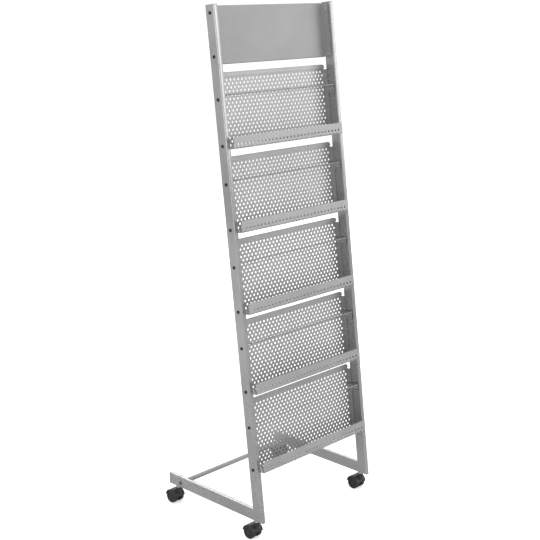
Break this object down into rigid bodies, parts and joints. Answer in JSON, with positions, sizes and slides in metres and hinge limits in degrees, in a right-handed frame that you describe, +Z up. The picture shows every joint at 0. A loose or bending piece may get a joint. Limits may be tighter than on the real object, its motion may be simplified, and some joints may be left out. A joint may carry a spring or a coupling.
{
  "type": "brochure rack",
  "caption": "Mobile leaning brochure rack: tube posts on floor rails with casters, a plain header panel and perforated sheet trays with retainer wires.",
  "frame": {"origin": "on the floor, under the middle of the rack's overall box", "axes": "+X to the right seen from the front, the front faces -Y, +Z up"},
  "size_m": [0.505, 0.4065, 1.5037],
  "materials": {
    "frame_tube": "silver-grey powder coat, satin",
    "sheet_metal": "silver-grey powder coat, fine texture",
    "wire_steel": "silver-grey coated round wire",
    "cap_plastic": "moulded grey plastic plug",
    "black_screw": "black oxide socket button head",
    "zinc_steel": "bright zinc plate",
    "caster_nylon": "black moulded nylon",
    "caster_tread": "black moulded wheel"
  },
  "bodies": {
    "rack_frame": {"left_post": "frame_tube", "right_post": "frame_tube", "left_base_rail": "frame_tube", "right_base_rail": "frame_tube", "rear_crossbar": "frame_tube", "left_post_cap": "cap_plastic", "right_post_cap": "cap_plastic", "left_rail_cap": "cap_plastic", "right_rail_cap": "cap_plastic", "header_panel": "sheet_metal", "brochure_tray_1": "sheet_metal", "brochure_tray_2": "sheet_metal", "brochure_tray_3": "sheet_metal", "brochure_tray_4": "sheet_metal", "brochure_tray_5": "sheet_metal", "retainer_wire_1": "wire_steel", "retainer_wire_2": "wire_steel", "retainer_wire_3": "wire_steel", "retainer_wire_4": "wire_steel", "retainer_wire_5": "wire_steel", "left_tray_screws": "black_screw", "right_tray_screws": "black_screw", "header_screws": "black_screw", "crossbar_bolts": "zinc_steel", "tray_nuts": "zinc_steel", "tray_washers": "zinc_steel", "header_nuts": "zinc_steel", "crossbar_plugs": "zinc_steel", "caster_inserts": "zinc_steel", "front_left_caster_stem": "zinc_steel", "front_right_caster_stem": "zinc_steel", "rear_left_caster_stem": "zinc_steel", "rear_right_caster_stem": "zinc_steel"},
    "front_left_caster": {"front_left_caster_hood": "caster_nylon", "front_left_caster_axle": "zinc_steel"},
    "front_left_left_wheel": {"front_left_caster_left_wheel": "caster_tread"},
    "front_left_right_wheel": {"front_left_caster_right_wheel": "caster_tread"},
    "front_right_caster": {"front_right_caster_hood": "caster_nylon", "front_right_caster_axle": "zinc_steel"},
    "front_right_left_wheel": {"front_right_caster_left_wheel": "caster_tread"},
    "front_right_right_wheel": {"front_right_caster_right_wheel": "caster_tread"},
    "rear_left_caster": {"rear_left_caster_hood": "caster_nylon", "rear_left_caster_axle": "zinc_steel"},
    "rear_left_left_wheel": {"rear_left_caster_left_wheel": "caster_tread"},
    "rear_left_right_wheel": {"rear_left_caster_right_wheel": "caster_tread"},
    "rear_right_caster": {"rear_right_caster_hood": "caster_nylon", "rear_right_caster_axle": "zinc_steel"},
    "rear_right_left_wheel": {"rear_right_caster_left_wheel": "caster_tread"},
    "rear_right_right_wheel": {"rear_right_caster_right_wheel": "caster_tread"}
  },
  "joints": [
    {"name": "front_left_swivel", "type": "hinge", "parent": "rack_frame", "child": "front_left_caster", "pos_m": [-0.233, -0.17325, 0.045], "axis": [0, 0, 1], "continuous": true},
    {"name": "front_left_left_roll", "type": "hinge", "parent": "front_left_caster", "child": "front_left_left_wheel", "pos_m": [-0.24475, -0.15725, 0.02], "axis": [1, 0, 0], "continuous": true},
    {"name": "front_left_right_roll", "type": "hinge", "parent": "front_left_caster", "child": "front_left_right_wheel", "pos_m": [-0.22125, -0.15725, 0.02], "axis": [1, 0, 0], "continuous": true},
    {"name": "front_right_swivel", "type": "hinge", "parent": "rack_frame", "child": "front_right_caster", "pos_m": [0.233, -0.17325, 0.045], "axis": [0, 0, 1], "continuous": true},
    {"name": "front_right_left_roll", "type": "hinge", "parent": "front_right_caster", "child": "front_right_left_wheel", "pos_m": [0.22125, -0.15725, 0.02], "axis": [1, 0, 0], "continuous": true},
    {"name": "front_right_right_roll", "type": "hinge", "parent": "front_right_caster", "child": "front_right_right_wheel", "pos_m": [0.24475, -0.15725, 0.02], "axis": [1, 0, 0], "continuous": true},
    {"name": "rear_left_swivel", "type": "hinge", "parent": "rack_frame", "child": "rear_left_caster", "pos_m": [-0.233, 0.16475, 0.045], "axis": [0, 0, 1], "continuous": true},
    {"name": "rear_left_left_roll", "type": "hinge", "parent": "rear_left_caster", "child": "rear_left_left_wheel", "pos_m": [-0.24475, 0.18075, 0.02], "axis": [1, 0, 0], "continuous": true},
    {"name": "rear_left_right_roll", "type": "hinge", "parent": "rear_left_caster", "child": "rear_left_right_wheel", "pos_m": [-0.22125, 0.18075, 0.02], "axis": [1, 0, 0], "continuous": true},
    {"name": "rear_right_swivel", "type": "hinge", "parent": "rack_frame", "child": "rear_right_caster", "pos_m": [0.233, 0.16475, 0.045], "axis": [0, 0, 1], "continuous": true},
    {"name": "rear_right_left_roll", "type": "hinge", "parent": "rear_right_caster", "child": "rear_right_left_wheel", "pos_m": [0.22125, 0.18075, 0.02], "axis": [1, 0, 0], "continuous": true},
    {"name": "rear_right_right_roll", "type": "hinge", "parent": "rear_right_caster", "child": "rear_right_right_wheel", "pos_m": [0.24475, 0.18075, 0.02], "axis": [1, 0, 0], "continuous": true}
  ]
}
